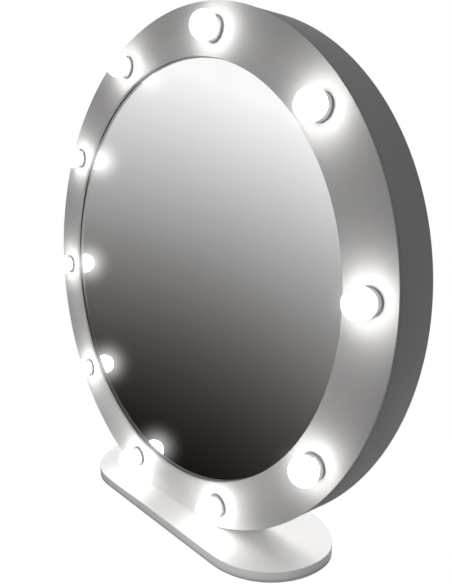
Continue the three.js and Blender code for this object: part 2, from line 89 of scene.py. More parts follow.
# ---------- Sizes, from the frame ----------
RING_LOW, RING_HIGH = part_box("front_ring")
BASE_LOW, BASE_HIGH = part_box("base_plate")
FRAME_RADIUS = 450 * MM
FACE_Y = RING_LOW.y  # front ring's face
CENTRE_Z = RING_HIGH.z - FRAME_RADIUS
FLAT_DROP = CENTRE_Z - RING_LOW.z
REAR_RADIUS = (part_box("side_band")[1].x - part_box("side_band")[0].x) / 2  # the drum flares to the rear
OPENING_RADIUS = 371 * MM
SLEEVE_HOLE_RADIUS = 14.4 * MM
LAMP_COUNT = 10
PANEL_SCREW_COUNT = 6
MAIN_BODY = "frame_and_base"


def depth_of(node):
    """How far behind the front ring's face a node starts and ends."""
    low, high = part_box(node)
    return low.y - FACE_Y, high.y - FACE_Y


def middle_of(node):
    low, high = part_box(node)
    return (low + high) / 2


def in_drum(x, up, depth):
    """A point of the drum's own frame: x to the right, up from its centre, depth behind its face."""
    return Vector((x, FACE_Y + depth, CENTRE_Z + up))


# ---------- Node helpers ----------
class Nodes:
    """Adds nodes to a material or world and joins them by socket name."""

    def __init__(self, tree):
        self.tree = tree
        tree.nodes.clear()

    def add(self, kind, inputs=None, **settings):
        node = self.tree.nodes.new(kind)
        for key, value in settings.items():
            setattr(node, key, value)
        for key, value in (inputs or {}).items():
            self.feed(node.inputs[key], value)
        return node

    def feed(self, socket, value):
        if isinstance(value, bpy.types.NodeSocket):
            self.tree.links.new(value, socket)
        else:
            socket.default_value = value

    def maths(self, operation, a, b=0.0, clamp=False):
        node = self.add("ShaderNodeMath", {0: a, 1: b}, operation=operation, use_clamp=clamp)
        return node.outputs[0]

    def noise(self, scale, detail=2.0, roughness=0.5, vector=None):
        """Noise between about 0.3 and 0.7, in object space; scale is in cycles a metre."""
        if vector is None:
            vector = self.add("ShaderNodeTexCoord").outputs["Object"]
        node = self.add(
            "ShaderNodeTexNoise",
            {"Vector": vector, "Scale": scale, "Detail": detail, "Roughness": roughness},
        )
        return node.outputs["Fac"]

    def spread(self, value, low, high, from_low=0.3, from_high=0.7):
        node = self.add(
            "ShaderNodeMapRange",
            {"Value": value, "From Min": from_low, "From Max": from_high, "To Min": low, "To Max": high},
        )
        return node.outputs["Result"]

    def blend(self, factor, a, b):
        node = self.add("ShaderNodeMix", data_type="RGBA")
        self.feed(node.inputs["Factor"], factor)
        self.feed(node.inputs["A"], a)
        self.feed(node.inputs["B"], b)
        return node.outputs["Result"]

    def bump(self, height, distance, strength=1.0, normal=None):
        inputs = {"Height": height, "Distance": distance, "Strength": strength}
        if normal is not None:
            inputs["Normal"] = normal
        return self.add("ShaderNodeBump", inputs).outputs["Normal"]


def rgba(red, green, blue):
    return (red, green, blue, 1.0)


def material(name, build):
    """A node material whose surface is what build returns."""
    made = bpy.data.materials.new(name)
    made.use_nodes = True
    nodes = Nodes(made.node_tree)
    surface = build(nodes)
    nodes.add("ShaderNodeOutputMaterial", {"Surface": surface})
    return made


def principled(nodes, **inputs):
    named = {key.replace("_", " "): value for key, value in inputs.items()}
    return nodes.add("ShaderNodeBsdfPrincipled", named).outputs[0]


# ---------- Materials ----------
def white_paint(nodes):
    """Sprayed satin paint over fibreboard: faint orange peel, cloudy sheen, rubbed edges, and painted shade
    in the grooves, on the round opening's wall and at the base plate's foot.
    """
    clouds = nodes.noise(7, 3)
    peel = nodes.noise(900, 2)
    edges = nodes.add("ShaderNodeNewGeometry").outputs["Pointiness"]
    rubbed = nodes.spread(edges, 0.0, 0.35, 0.52, 0.6)
    body = nodes.blend(nodes.spread(clouds, 0, 1), rgba(0.795, 0.785, 0.775), rgba(0.82, 0.812, 0.805))
    colour = nodes.blend(rubbed, body, rgba(0.86, 0.85, 0.84))
    # Painted shade: concave edges, such as the groove behind the front ring, are darkened in the colour.
    colour = nodes.blend(nodes.spread(edges, 1, 0, 0.40, 0.47), colour, rgba(0.2, 0.19, 0.185))
    # Painted shade on the round opening's wall, and on its reflection in the glass.
    colour = nodes.blend(reveal_shade(nodes), colour, PAINTED_SHADE)
    # Painted shadow at the base plate's foot, darker towards the table.
    colour = nodes.blend(table_shade(nodes), colour, PAINTED_SHADE)
    sheen = nodes.maths("ADD", nodes.spread(clouds, 0.44, 0.54), nodes.spread(peel, -0.03, 0.03))
    normal = nodes.bump(peel, 0.04 * MM, 0.5)
    return principled(nodes, Base_Color=colour, Roughness=sheen, Normal=normal, Specular_IOR_Level=0.2)


def reveal_shade(nodes):
    """How much painted shade darkens the round opening's wall: more towards the glass. Its reflection in the
    glass has no painted shade above the mirror's middle and more and more below it, where it merges into the
    dark room's reflection."""
    place = nodes.add("ShaderNodeTexCoord").outputs["Object"]
    outward = nodes.add("ShaderNodeVectorMath", {0: place, 1: (0, 0, -CENTRE_Z)}, operation="ADD").outputs[0]
    around = nodes.add("ShaderNodeVectorMath", {0: outward, 1: (1, 0, 1)}, operation="MULTIPLY").outputs[0]
    radius = nodes.add("ShaderNodeVectorMath", {0: around}, operation="LENGTH").outputs["Value"]
    from_wall = nodes.maths("ABSOLUTE", nodes.maths("SUBTRACT", radius, OPENING_RADIUS))
    on_wall = nodes.maths("LESS_THAN", from_wall, WALL_TOLERANCE)
    split = nodes.add("ShaderNodeSeparateXYZ", {0: place})
    deep = nodes.spread(split.outputs["Y"], 0, WALL_DIRECT_SHADE, FACE_Y, FACE_Y + WALL_DEPTH)
    low = nodes.spread(split.outputs["Z"], WALL_MIRRORED_SHADE, 0, CENTRE_Z + WALL_FADE_END, CENTRE_Z + WALL_FADE_START)
    mirrored = nodes.add("ShaderNodeLightPath").outputs["Is Glossy Ray"]
    direct = nodes.maths("SUBTRACT", 1, mirrored)
    shade = nodes.maths("ADD", nodes.maths("MULTIPLY", deep, direct), nodes.maths("MULTIPLY", low, mirrored))
    return nodes.maths("MULTIPLY", on_wall, shade)


def table_shade(nodes):
    """Painted shadow at the base plate's foot, strongest on the table."""
    place = nodes.add("ShaderNodeTexCoord").outputs["Object"]
    height = nodes.add("ShaderNodeSeparateXYZ", {0: place}).outputs["Z"]
    return nodes.spread(height, FOOT_SHADE, 0, 0, FOOT_SHADE_HEIGHT)


def white_plastic(nodes):
    """Moulded white plastic with a fine spark-eroded texture."""
    grain = nodes.noise(2600, 2)
    tint = nodes.spread(nodes.noise(35, 2), 0, 1)
    colour = nodes.blend(tint, rgba(0.8, 0.79, 0.775), rgba(0.84, 0.835, 0.825))
    rough = nodes.spread(grain, 0.3, 0.42)
    return principled(nodes, Base_Color=colour, Roughness=rough, Normal=nodes.bump(grain, 0.02 * MM, 0.5))


def grey_plastic(nodes):
    """Silver-grey moulded plastic: fine metallic flake under a satin skin."""
    flake = nodes.noise(5200, 1)
    tint = nodes.spread(nodes.noise(70, 2), 0, 1)
    body = nodes.blend(tint, rgba(0.2, 0.2, 0.2), rgba(0.235, 0.233, 0.23))
    colour = nodes.blend(nodes.spread(flake, 0, 0.35, 0.5, 0.75), body, rgba(0.42, 0.42, 0.42))
    rough = nodes.spread(flake, 0.36, 0.5)
    normal = nodes.bump(flake, 0.02 * MM, 0.5)
    return principled(nodes, Base_Color=colour, Roughness=rough, Normal=normal, Specular_IOR_Level=0.08)


def opal_globe(nodes):
    """Opal diffuser, lit from inside: a little dimmer towards its outline, much dimmer on the neck side,
    where the cap shades it. The camera sees it weaker and its reflections stronger than the light it
    gives, which keeps the collars clear and puts a halo round each reflection."""
    facing = nodes.add("ShaderNodeLayerWeight", {"Blend": 0.3}).outputs["Facing"]
    streaks = nodes.noise(60, 3)
    colour = nodes.blend(nodes.spread(streaks, 0, 1), rgba(1.0, 0.98, 0.955), rgba(1.0, 0.99, 0.975))
    rearward = nodes.add("ShaderNodeSeparateXYZ", {0: nodes.add("ShaderNodeTexCoord").outputs["Normal"]})
    shaded = nodes.spread(rearward.outputs["Y"], 1, NECK_SHADE, NECK_SHADE_START, NECK_SHADE_END)
    power = nodes.maths("MULTIPLY", nodes.spread(facing, 1.05, 0.85, 0, 1), GLOBE_POWER)
    path = nodes.add("ShaderNodeLightPath")
    boost = nodes.maths("MULTIPLY", path.outputs["Is Glossy Ray"], REFLECTION_BOOST)
    share = nodes.maths("MAXIMUM", shaded, boost)
    unseen = nodes.maths("SUBTRACT", 1, path.outputs["Is Camera Ray"])
    seen = nodes.maths("MULTIPLY", path.outputs["Is Camera Ray"], DIRECT_SHARE)
    power = nodes.maths("MULTIPLY", power, nodes.maths("ADD", nodes.maths("MULTIPLY", share, unseen), seen))
    return principled(
        nodes,
        Base_Color=rgba(0.9, 0.89, 0.87),
        Roughness=nodes.spread(streaks, 0.22, 0.3),
        Emission_Color=colour,
        Emission_Strength=power,
    )


def silvered_glass(nodes):
    """Mirror: a clean reflection with a faint haze, which gives lamps their halo."""
    smear = nodes.noise(9, 3)
    tint = nodes.blend(nodes.spread(smear, 0, 1), rgba(0.938, 0.938, 0.933), rgba(0.955, 0.955, 0.95))
    clear = principled(nodes, Base_Color=tint, Metallic=1.0, Roughness=nodes.spread(smear, 0.004, 0.012))
    haze = principled(nodes, Base_Color=tint, Metallic=1.0, Roughness=0.28)
    mix = nodes.add("ShaderNodeMixShader", {0: MIRROR_HAZE})
    nodes.feed(mix.inputs[1], clear)
    nodes.feed(mix.inputs[2], haze)
    return mix.outputs[0]


def black_rubber(nodes):
    """Black foam strip with open pores."""
    pores = nodes.noise(1800, 3)
    colour = nodes.blend(nodes.spread(pores, 0, 1), rgba(0.006, 0.006, 0.006), rgba(0.022, 0.021, 0.02))
    normal = nodes.bump(pores, 0.15 * MM, 0.7)
    return principled(nodes, Base_Color=colour, Roughness=nodes.spread(pores, 0.75, 0.95), Normal=normal)


def bare_wood(nodes):
    """Bare plywood: long grain with darker pores."""
    place = nodes.add("ShaderNodeTexCoord").outputs["Object"]
    grain_space = nodes.add("ShaderNodeMapping", {"Vector": place, "Scale": (3, 40, 60)})
    grain = nodes.noise(5, 6, 0.6, grain_space.outputs[0])
    colour = nodes.blend(nodes.spread(grain, 0, 1), rgba(0.44, 0.3, 0.17), rgba(0.66, 0.5, 0.32))
    normal = nodes.bump(grain, 0.1 * MM, 0.6)
    return principled(nodes, Base_Color=colour, Roughness=nodes.spread(grain, 0.6, 0.8), Normal=normal)


def hardboard(nodes):
    """White-faced hardboard: pressed fibres show through a thin dull coat."""
    fibres = nodes.noise(420, 5, 0.65)
    clouds = nodes.noise(5, 3)
    flecks = nodes.spread(fibres, 0, 1, 0.6, 0.72)
    coat = nodes.blend(nodes.spread(clouds, 0, 1), rgba(0.68, 0.665, 0.64), rgba(0.74, 0.73, 0.71))
    colour = nodes.blend(nodes.maths("MULTIPLY", flecks, 0.35), coat, rgba(0.45, 0.4, 0.34))
    normal = nodes.bump(fibres, 0.12 * MM, 0.5)
    return principled(nodes, Base_Color=colour, Roughness=nodes.spread(fibres, 0.55, 0.75), Normal=normal)


def zinc_steel(nodes):
    """Zinc-plated steel: cloudy passivation and fine scratches."""
    clouds = nodes.noise(240, 3)
    scratches = nodes.noise(3000, 1)
    colour = nodes.blend(nodes.spread(clouds, 0, 1), rgba(0.52, 0.53, 0.55), rgba(0.68, 0.68, 0.66))
    rough = nodes.maths("ADD", nodes.spread(clouds, 0.26, 0.4), nodes.spread(scratches, -0.04, 0.04))
    normal = nodes.bump(scratches, 0.01 * MM, 0.4)
    return principled(nodes, Base_Color=colour, Metallic=1.0, Roughness=rough, Normal=normal)


def nickel(nodes):
    """Nickel-plated screw cap of a bulb."""
    clouds = nodes.noise(300, 3)
    colour = nodes.blend(nodes.spread(clouds, 0, 1), rgba(0.66, 0.63, 0.58), rgba(0.78, 0.75, 0.7))
    return principled(nodes, Base_Color=colour, Metallic=1.0, Roughness=nodes.spread(clouds, 0.18, 0.3))


def black_plastic(nodes):
    """Moulded black plastic with a fine matt texture."""
    grain = nodes.noise(2400, 2)
    tint = nodes.spread(nodes.noise(60, 2), 0, 1)
    colour = nodes.blend(tint, rgba(0.014, 0.014, 0.015), rgba(0.026, 0.026, 0.028))
    rough = nodes.spread(grain, 0.35, 0.5)
    return principled(nodes, Base_Color=colour, Roughness=rough, Normal=nodes.bump(grain, 0.03 * MM, 0.6))


def cable_sheath(nodes):
    """Soft white cable sheath, a little dusty."""
    dust = nodes.noise(90, 3)
    colour = nodes.blend(nodes.spread(dust, 0, 1), rgba(0.68, 0.67, 0.64), rgba(0.78, 0.77, 0.75))
    return principled(nodes, Base_Color=colour, Roughness=nodes.spread(dust, 0.45, 0.6))


# Colour of the painted shade and painted shadow on the white paint.
PAINTED_SHADE = rgba(0.1, 0.09, 0.085)
WALL_DEPTH, WALL_TOLERANCE = 5 * MM, 0.5 * MM  # of the round opening's wall
# How dark the painted shade on the opening's wall gets, seen directly and in the glass.
WALL_DIRECT_SHADE, WALL_MIRRORED_SHADE = 0.2, 0.85
WALL_FADE_START, WALL_FADE_END = 20 * MM, -130 * MM  # above the mirror's middle
# Painted shadow at the base plate's foot: how dark it gets and how high it reaches.
FOOT_SHADE, FOOT_SHADE_HEIGHT = 0.5, 7 * MM
GLOBE_POWER = 11.0
REFLECTION_BOOST, DIRECT_SHARE = 2.2, 0.3
NECK_SHADE, NECK_SHADE_START, NECK_SHADE_END = 0.1, 0.22, 0.6
MIRROR_HAZE = 0.006
MATERIALS = {
    build.__name__: material(build.__name__, build)
    for build in (
        white_paint,
        white_plastic,
        grey_plastic,
        opal_globe,
        silvered_glass,
        black_rubber,
        bare_wood,
        hardboard,
        zinc_steel,
        nickel,
        black_plastic,
        cable_sheath,
    )
}


# ---------- Mesh helpers ----------
def piece(name, points, faces, finish, body, stands_for=(), sharp=30):
    """A mesh object on a body, with its faces turned outwards and its sharp edges marked."""
    mesh = bpy.data.meshes.new(name)
    mesh.from_pydata([tuple(point) for point in points], [], faces)
    shape = bmesh.new()
    shape.from_mesh(mesh)
    bmesh.ops.remove_doubles(shape, verts=shape.verts, dist=1e-7)
    bmesh.ops.recalc_face_normals(shape, faces=shape.faces)
    shape.to_mesh(mesh)
    shape.free()
    mesh.shade_smooth()
    mesh.set_sharp_from_angle(angle=math.radians(sharp))
    made = bpy.data.objects.new(name, mesh)
    bpy.context.scene.collection.objects.link(made)
    made.data.materials.append(MATERIALS[finish])
    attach(made, body)
    if stands_for:
        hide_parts(*stands_for)
    return made


def joined_rows(rows, wrap):
    """Quads between neighbouring rows of points, each row a closed loop; wrap joins last row to first."""
    count = len(rows[0])
    points = [point for row in rows for point in row]
    faces = []
    for r in range(len(rows) if wrap else len(rows) - 1):
        here, there = r * count, (r + 1) % len(rows) * count
        for i in range(count):
            j = (i + 1) % count
            faces.append((here + i, here + j, there + j, there + i))
    return points, faces


def turned(profile, place, steps=64, wrap=False):
    """A piece turned about the depth axis from (radius, depth) pairs. A radius of 0 closes an end."""
    def row(radius, depth):
        return [
            place(radius * math.cos(TAU * i / steps), radius * math.sin(TAU * i / steps), depth)
            for i in range(steps)
        ]

    inner = [pair for pair in profile if pair[0] > 0]
    points, faces = joined_rows([row(*pair) for pair in inner], wrap)
    last = (len(inner) - 1) * steps
    for (radius, depth), start in ((profile[0], 0), (profile[-1], last)):
        if radius == 0:
            pole = len(points)
            points.append(place(0, 0, depth))
            faces += [(start + i, start + (i + 1) % steps, pole) for i in range(steps)]
    return points, faces


def board(edges, place):
    """A flat board. Each edge is (outline, rows): outline(inset) gives a closed loop of (x, y) pairs
    and rows lists (inset, depth) from one face to the other. Both faces are filled between the loops."""
    points, faces, fronts, backs = [], [], [], []
    for outline, rows in edges:
        loops = [[place(x, y, depth) for x, y in outline(inset)] for inset, depth in rows]
        start = len(points)
        own_points, own_faces = joined_rows(loops, False)
        points += own_points
        faces += [tuple(start + i for i in face) for face in own_faces]
        count = len(loops[0])
        fronts.append([(point, start + i) for i, point in enumerate(loops[0])])
        last = start + (len(loops) - 1) * count
        backs.append([(point, last + i) for i, point in enumerate(loops[-1])])
    for face in (fronts, backs):
        indices = [index for loop in face for _, index in loop]
        fill = tessellate_polygon([[point for point, _ in loop] for loop in face])
        faces += [tuple(indices[i] for i in triangle) for triangle in fill]
    return points, faces


def rounded_rows(front, back, radius, back_radius=None, steps=4):
    """Rows of an edge whose two corners are rounded."""
    back_radius = radius if back_radius is None else back_radius
    turns = [math.pi / 2 * i / steps for i in range(steps + 1)]
    near = [(radius * (1 - math.sin(t)), front + radius * (1 - math.cos(t))) for t in turns]
    far = [(back_radius * (1 - math.cos(t)), back - back_radius * (1 - math.sin(t))) for t in turns]
    return near + far


def arc(radius, start, end, steps, x=0.0, y=0.0):
    angles = [start + (end - start) * i / steps for i in range(steps + 1)]
    return [(x + radius * math.cos(angle), y + radius * math.sin(angle)) for angle in angles]


def drum_outline(inset, outside=FRAME_RADIUS, steps=288):
    """The drum's outline, a circle with a flat chord at the bottom."""
    radius = outside - inset
    half_chord = math.acos((FLAT_DROP - inset) / radius)
    return arc(radius, half_chord - math.pi / 2, 1.5 * math.pi - half_chord, steps)


def round_hole(radius, steps, x=0.0, y=0.0):
    """A hole's outline: an inset into the board's material makes the hole wider."""
    return lambda inset: arc(radius + inset, 0, TAU, steps, x, y)[:-1]


def square_hole(width, height, corner, x=0.0, y=0.0, steps=4):
    """A rectangular hole with round corners."""
    return lambda inset: rectangle(width + 2 * inset, height + 2 * inset, corner + inset, x, y, steps)


def rectangle(width, height, corner, x=0.0, y=0.0, steps=6):
    quarter = math.pi / 2
    right, left = x + width / 2 - corner, x - width / 2 + corner
    top, bottom = y + height / 2 - corner, y - height / 2 + corner
    corners = ((right, bottom, -1), (right, top, 0), (left, top, 1), (left, bottom, 2))
    return [
        point
        for across, up, turn in corners
        for point in arc(corner, turn * quarter, (turn + 1) * quarter, steps, across, up)
    ]


# ---------- Base ----------
def base_plate():
    """The plate on the table, with softly rounded edges and two countersunk holes."""
    length, thickness = BASE_HIGH.x - BASE_LOW.x, BASE_HIGH.z - BASE_LOW.z
    front, rear = -BASE_LOW.y, BASE_HIGH.y

    def outline(inset):
        """Round ends, flatter at the rear."""
        reach = front - inset
        even = rectangle(length - 2 * inset, 2 * reach, reach - 0.5 * MM, steps=48)
        return [(x, y * (rear - inset) / reach if y > 0 else y) for x, y in even]

    # Depth runs down from the top face.
    top_ease, foot_ease = 1.2 * MM, 0.5 * MM
    edges = [(outline, rounded_rows(0, thickness, top_ease, foot_ease))]
    shank, head = 3.4 * MM, 6.6 * MM
    sink_start, sink_end = thickness - 4.8 * MM, thickness - 1.4 * MM
    for side in ("left", "right"):
        bolt = middle_of("base_bolt_" + side)
        rows = [(0, 0), (0, sink_start), (head - shank, sink_end), (head - shank, thickness)]
        edges.append((round_hole(shank, 40, bolt.x, bolt.y), rows))
    points, faces = board(edges, lambda x, y, depth: Vector((x, y, BASE_HIGH.z - depth)))
    piece("base_plate_fine", points, faces, "white_paint", MAIN_BODY, ["base_plate"])


# ---------- Drum ----------
def front_ring():
    """The front board, its outer and inner edges eased, with a hole for each lampholder."""
    front, back = depth_of("front_ring")
    outer_ease, inner_ease = 0.7 * MM, 0.6 * MM
    edges = [
        (drum_outline, rounded_rows(front, back, outer_ease)),
        (round_hole(OPENING_RADIUS, 256), rounded_rows(front, back, inner_ease)),
    ]
    for number in range(1, LAMP_COUNT + 1):
        lamp = middle_of(f"lampholder_{number:02d}")
        hole = round_hole(SLEEVE_HOLE_RADIUS, 32, lamp.x, lamp.z - CENTRE_Z)
        edges.append((hole, [(0, front), (0, back)]))
    points, faces = board(edges, in_drum)
    piece("front_ring_fine", points, faces, "white_paint", MAIN_BODY, ["front_ring"])


def side_band():
    """The hoop: shadow groove behind the front ring, eased rear edge, rebate for the rear panel."""
    front, back = depth_of("side_band")
    wall, groove, ease = 15 * MM, 2.5 * MM, 0.6 * MM
    shoulder = 7 * MM
    rebate_wall, rebate_depth = 6 * MM, 6.5 * MM

    def outside(depth):
        return FRAME_RADIUS + (REAR_RADIUS - FRAME_RADIUS) * (depth - shoulder) / (back - shoulder)

    profile = [(wall, front, FRAME_RADIUS), (groove, front, FRAME_RADIUS), (groove, shoulder, FRAME_RADIUS)]
    profile += [(inset, depth, outside(depth)) for inset, depth in rounded_rows(shoulder, back, ease)]
    profile += [(rebate_wall, back, REAR_RADIUS), (rebate_wall, back - rebate_depth, REAR_RADIUS)]
    profile += [(wall, back - rebate_depth, FRAME_RADIUS)]
    rows = [
        [in_drum(x, up, depth) for x, up in drum_outline(inset, radius)]
        for inset, depth, radius in profile
    ]
    points, faces = joined_rows(rows, True)
    piece("side_band_fine", points, faces, "white_paint", MAIN_BODY, ["side_band"])


def rear_panel():
    """The rear panel with its screw holes and the openings for the switch and the inlet."""
    front, back = depth_of("rear_panel")
    margin, ease, screw_hole = 6.3 * MM, 0.4 * MM, 2.1 * MM

    def outline(inset):
        return drum_outline(inset + margin, REAR_RADIUS)

    edges = [(outline, rounded_rows(front, back, ease, steps=2))]
    for number in range(1, PANEL_SCREW_COUNT + 1):
        screw = middle_of(f"panel_screw_{number:02d}")
        hole = round_hole(screw_hole, 20, screw.x, screw.z - CENTRE_Z)
        edges.append((hole, [(0, front), (0, back)]))
    for node, width, height, corner in (("switch_housing", 13.6, 19.6, 0.5), ("power_inlet", 25, 16.4, 1)):
        place = middle_of(node)
        hole = square_hole(width * MM, height * MM, corner * MM, place.x, place.z - CENTRE_Z)
        edges.append((hole, [(0, front), (0, back)]))
    points, faces = board(edges, in_drum)
    piece("rear_panel_fine", points, faces, "hardboard", MAIN_BODY, ["rear_panel"])


def mirror_gasket():
    """Foam seal between the front ring and the glass, with a rounded inner lip."""
    front, back = depth_of("mirror_gasket")
    low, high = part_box("mirror_gasket")
    inner, outer = OPENING_RADIUS + 1 * MM, (high.x - low.x) / 2
    lip = (back - front) / 2
    bulge = [
        (inner + lip * (1 - math.cos(t)), front + lip * (1 - math.sin(t)))
        for t in (math.pi / 2 - math.pi * i / 8 for i in range(9))
    ]
    points, faces = turned([*bulge, (outer, back), (outer, front)], in_drum, 256, wrap=True)
    piece("mirror_gasket_fine", points, faces, "black_rubber", MAIN_BODY, ["mirror_gasket"])


# ---------- Lamps ----------
def lamp_place(number):
    """Maps a lamp's own (x, up, depth) to the row frame."""
    lamp = middle_of(f"lampholder_{number:02d}")
    return lambda x, up, depth: in_drum(lamp.x + x, lamp.z - CENTRE_Z + up, depth)


def lamp_collar(number):
    """Grey collar: rounded rim, and a thin inner lip over the lampholder's sleeve."""
    front, back = depth_of(f"lamp_collar_{number:02d}")
    outer, sleeve, lip, round_rim = 19.4 * MM, SLEEVE_HOLE_RADIUS, 13 * MM, 0.9 * MM
    rim = [
        (outer - round_rim * (1 - math.cos(t)), front + round_rim * (1 - math.sin(t)))
        for t in (math.pi / 2 * i / 5 for i in range(6))
    ]
    profile = [
        (sleeve, back),
        (outer - 0.2 * MM, back),
        (outer, back - 0.2 * MM),
        *rim,
        (lip + 0.25 * MM, front),
        (lip, front + 0.25 * MM),
        (lip, front + 1 * MM),
        (sleeve, front + 1 * MM),
    ]
    points, faces = turned(profile, lamp_place(number), 72, wrap=True)
    name = f"lamp_collar_{number:02d}"
    piece(name + "_fine", points, faces, "grey_plastic", MAIN_BODY, [name])


def bulb(number):
    """Opal globe with its glued seam at the neck, and a nickel cap with a rolled thread."""
    node = f"bulb_{number:02d}"
    front, back = depth_of(node)
    radius, neck = 21.5 * MM, 10 * MM
    centre = front + radius
    steps = 28
    start = math.asin(neck / radius)
    sphere = [
        (radius * math.sin(t), centre + radius * math.cos(t))
        for t in (start + (math.pi - start) * i / steps for i in range(steps))
    ]
    shoulder = 7 * MM
    seam = [
        (0, shoulder),
        (neck - 1.2 * MM, shoulder),
        (neck - 0.5 * MM, shoulder - 0.7 * MM),
        (neck - 0.5 * MM, 1.5 * MM),
        (neck - 0.9 * MM, 1.1 * MM),
        (neck - 0.5 * MM, 0.7 * MM),
    ]
    globe = [*seam, *sphere, (0, front)]
    points, faces = turned(globe, lamp_place(number), 64)
    piece(node + "_globe", points, faces, "opal_globe", node, [node])

    cap, pitch, turns = 6.7 * MM, 2.82 * MM, 5
    first = shoulder + 2.5 * MM
    thread = [
        (cap + 0.2 * MM * math.cos(TAU * i / 6), first + pitch * i / 6)
        for i in range(6 * turns + 1)
    ]
    end = thread[-1][1]
    shell = [
        (0, shoulder + 0.05 * MM),
        (cap, shoulder + 0.05 * MM),
        *thread,
        (cap - 1.5 * MM, end + 2 * MM),
        (3 * MM, end + 3.5 * MM),
        (3 * MM, back - 1 * MM),
        (2 * MM, back),
        (0, back),
    ]
    points, faces = turned(shell, lamp_place(number), 32)
    piece(node + "_cap", points, faces, "nickel", node)


# ---------- Rear fittings ----------
def panel_screw(number):
    """Pan-head screw with a cross recess, seen on the rear panel."""
    node = f"panel_screw_{number:02d}"
    tip, back = depth_of(node)
    centre = middle_of(node)
    head, head_height, shank = 3.8 * MM, 1.8 * MM, 1.7 * MM
    dome = [
        (head * math.sin(t), back - head_height * 0.9 * (1 - math.cos(t)))
        for t in (math.pi / 2 * i / 8 for i in range(9))
    ]
    seat, point = back - head_height, 2 * MM
    profile = [*dome, (head, seat), (shank, seat), (shank, tip + point), (0, tip)]

    def place(x, up, depth):
        return in_drum(centre.x + x, centre.z - CENTRE_Z + up, depth)

    points, faces = turned(profile, place, 40)
    screw = piece(node + "_fine", points, faces, "zinc_steel", MAIN_BODY, [node])
    turn = 0.35 + 1.3 * number  # each screw stopped at another angle
    for quarter in (0, math.pi / 2):
        slot = bpy.data.meshes.new("slot")
        shape = bmesh.new()
        bmesh.ops.create_cube(shape, size=1.0)
        size = Matrix.Diagonal((4.2 * MM, 2 * MM, 0.8 * MM, 1))
        at = Matrix.Translation(in_drum(centre.x, centre.z - CENTRE_Z, back))
        turned_slot = at @ Matrix.Rotation(turn + quarter, 4, "Y") @ size
        bmesh.ops.transform(shape, matrix=turned_slot, verts=shape.verts)
        shape.to_mesh(slot)
        shape.free()
        carve(screw, slot)


def carve(target, cutter_mesh):
    """Cuts a mesh out of an object for good."""
    cutter = bpy.data.objects.new("cutter", cutter_mesh)
    bpy.context.scene.collection.objects.link(cutter)
    change = target.modifiers.new("carve", "BOOLEAN")
    change.operation = "DIFFERENCE"
    change.object = cutter
    change.solver = "EXACT"
    graph = bpy.context.evaluated_depsgraph_get()
    carved = bpy.data.meshes.new_from_object(target.evaluated_get(graph), depsgraph=graph)
    target.modifiers.clear()
    target.data = carved
    carved.shade_smooth()
    carved.set_sharp_from_angle(angle=math.radians(30))
    bpy.data.objects.remove(cutter)


# ---------- CAD nodes that stay ----------
KEPT_FINISHES = {
    "mirror_glass": "silvered_glass",
    "mirror_backing": "bare_wood",
    "foot_block": "bare_wood",
    "base_bolt": "zinc_steel",
    "mirror_clip": "zinc_steel",
    "clip_screw": "zinc_steel",
    "lampholder": "white_plastic",
    "terminal_box": "white_plastic",
    "wiring_loop": "cable_sheath",
    "supply_lead": "cable_sheath",
    "switch_housing": "black_plastic",
    "switch_rocker": "black_plastic",
    "power_inlet": "black_plastic",
}
EASED = {
    "switch_housing": 0.25 * MM,
    "switch_rocker": 0.3 * MM,
    "power_inlet": 0.3 * MM,
    "terminal_box": 0.5 * MM,
    "foot_block": 1.0 * MM,
}


def finish_kept_nodes():
    """Gives each CAD node that stays its finish, and eases the edges of the larger fittings."""
    for node, thing in frame["nodes"].items():
        for start, finish in KEPT_FINISHES.items():
            if not node.startswith(start):
                continue
            thing.data.materials.clear()
            thing.data.materials.append(MATERIALS[finish])
        if node in EASED:
            ease = thing.modifiers.new("ease", "BEVEL")
            ease.width = EASED[node]
            ease.segments = 2
            ease.limit_method = "ANGLE"
            ease.angle_limit = math.radians(40)


# ---------- Stage ----------
def look(location, yaw, pitch, roll, lens):
    """The camera, from its place and its turns away from a level look along +Y."""
    yaw, pitch, roll = map(math.radians, (yaw, pitch, roll))
    forward = Vector((-math.sin(yaw) * math.cos(pitch), math.cos(yaw) * math.cos(pitch), math.sin(pitch)))
    right = Vector((math.cos(yaw), math.sin(yaw), 0))
    up = right.cross(forward)
    tilted_right = math.cos(roll) * right + math.sin(roll) * up
    tilted_up = math.cos(roll) * up - math.sin(roll) * right
    camera = bpy.data.objects.new("camera", bpy.data.cameras.new("camera"))
    bpy.context.scene.collection.objects.link(camera)
    turn = Matrix((tilted_right, tilted_up, -forward)).transposed()
    camera.matrix_world = Matrix.Translation(location) @ turn.to_4x4()
    camera.data.lens = lens
    camera.data.clip_start = 0.01
    bpy.context.scene.camera = camera


